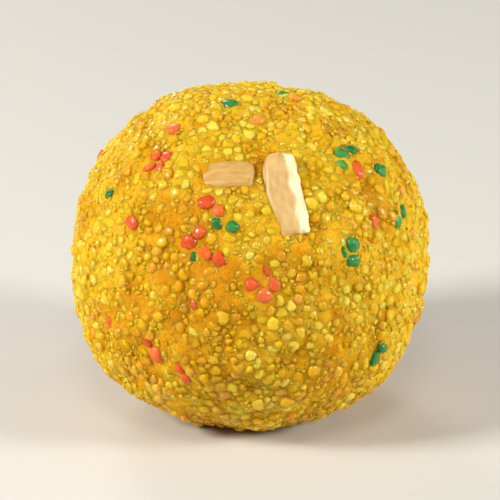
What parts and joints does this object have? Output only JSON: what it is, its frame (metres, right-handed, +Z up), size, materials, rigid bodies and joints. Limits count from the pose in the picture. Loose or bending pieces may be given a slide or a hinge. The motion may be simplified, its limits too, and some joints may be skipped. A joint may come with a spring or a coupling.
{
  "type": "boondi ladoo",
  "caption": "Hand-rolled ball of pressed gram flour pearls, resting on a small flat foot, with cashew chips set in its skin.",
  "frame": {"origin": "middle of the ball's outline, at the flat spot that it rests on", "axes": "+Z up; -Y towards the side with the two cashew chips that the picture shows; +X to that view's right"},
  "size_m": [0.0476, 0.0484, 0.0438],
  "materials": {
    "boondi": "fried gram flour pearls moist with sugar syrup, golden yellow, soft gloss",
    "red_boondi": "the same pearls dyed coral red",
    "green_boondi": "the same pearls dyed green",
    "cashew": "broken cashew kernel, cream, softly waxy"
  },
  "bodies": {
    "root": {"ladoo_ball": "boondi", "cashew_chip_long": "cashew", "cashew_chip_short": "cashew", "cashew_chip_rear": "cashew", "cashew_chip_side": "cashew"}
  },
  "joints": []
}
